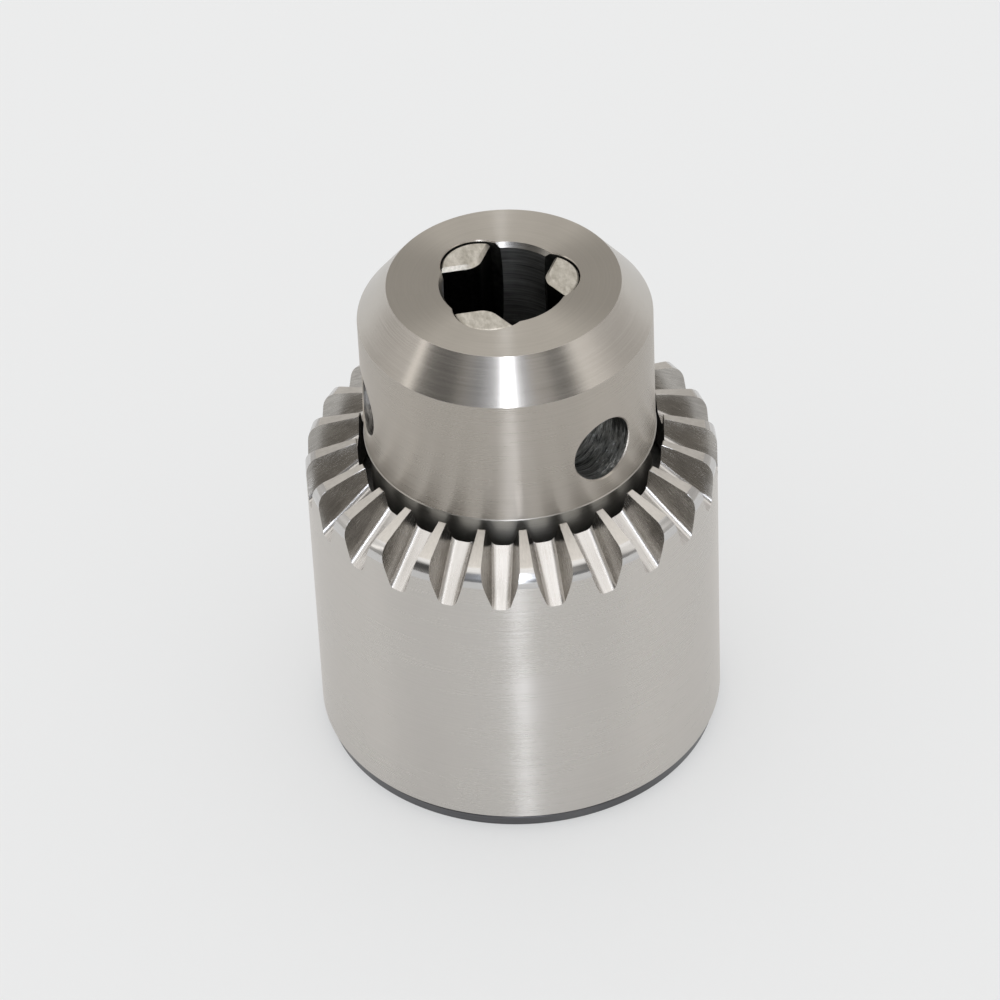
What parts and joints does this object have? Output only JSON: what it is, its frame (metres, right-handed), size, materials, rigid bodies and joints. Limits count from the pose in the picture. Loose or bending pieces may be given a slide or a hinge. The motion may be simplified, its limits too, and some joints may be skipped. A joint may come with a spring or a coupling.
{
  "type": "drill chuck",
  "caption": "Keyed drill chuck: turned body with a chamfered nose, bevel-toothed sleeve, split nut, thrust bearing and inclined jaws that close on a drill.",
  "frame": {"origin": "centre of the rear face that the chuck stands on", "axes": "+Z along the chuck's axis, from the rear face to the nose; +X through jaw_1"},
  "size_m": [0.043, 0.043, 0.0565],
  "materials": {
    "body_steel": "satin turned stainless steel, fine lines round the axis",
    "sleeve_steel": "satin turned stainless steel with milled, polished teeth",
    "jaw_steel": "hardened steel, ground tips",
    "nut_steel": "machined steel, oiled",
    "bearing_steel": "polished bearing steel",
    "cage_brass": "stamped brass"
  },
  "bodies": {
    "root": {"chuck_body": "body_steel", "thrust_race": "bearing_steel"},
    "sleeve_unit": {"sleeve": "sleeve_steel", "nut_half_a": "nut_steel", "nut_half_b": "nut_steel"},
    "jaw_1": {"jaw_1": "jaw_steel"},
    "jaw_2": {"jaw_2": "jaw_steel"},
    "jaw_3": {"jaw_3": "jaw_steel"},
    "bearing_unit": {"ball_cage": "cage_brass", "ball_01": "bearing_steel", "ball_02": "bearing_steel", "ball_03": "bearing_steel", "ball_04": "bearing_steel", "ball_05": "bearing_steel", "ball_06": "bearing_steel", "ball_07": "bearing_steel", "ball_08": "bearing_steel", "ball_09": "bearing_steel", "ball_10": "bearing_steel", "ball_11": "bearing_steel", "ball_12": "bearing_steel", "ball_13": "bearing_steel", "ball_14": "bearing_steel", "ball_15": "bearing_steel", "ball_16": "bearing_steel", "ball_17": "bearing_steel", "ball_18": "bearing_steel"}
  },
  "joints": [
    {"name": "sleeve_turn", "type": "hinge", "parent": "root", "child": "sleeve_unit", "pos_m": [0, 0, 0.02], "axis": [0, 0, -1], "range_deg": [-600, 3420]},
    {"name": "jaw_1_slide", "type": "slide", "parent": "root", "child": "jaw_1", "axis": [-0.225, 0, 0.9744], "range_m": [-0.00303, 0.01724]},
    {"name": "jaw_2_slide", "type": "slide", "parent": "root", "child": "jaw_2", "axis": [0.1125, -0.1948, 0.9744], "range_m": [-0.00303, 0.01724]},
    {"name": "jaw_3_slide", "type": "slide", "parent": "root", "child": "jaw_3", "axis": [0.1125, 0.1948, 0.9744], "range_m": [-0.00303, 0.01724]},
    {"name": "cage_spin", "type": "hinge", "parent": "root", "child": "bearing_unit", "pos_m": [0, 0, 0.0238], "axis": [0, 0, -1], "range_deg": [-301, 1711]}
  ],
  "couplings": [
    {"joint": "jaw_1_slide", "follows": "sleeve_turn", "m_per_rad": 0.00028871},
    {"joint": "jaw_2_slide", "follows": "sleeve_turn", "m_per_rad": 0.00028871},
    {"joint": "jaw_3_slide", "follows": "sleeve_turn", "m_per_rad": 0.00028871},
    {"joint": "cage_spin", "follows": "sleeve_turn", "ratio": 0.5}
  ]
}
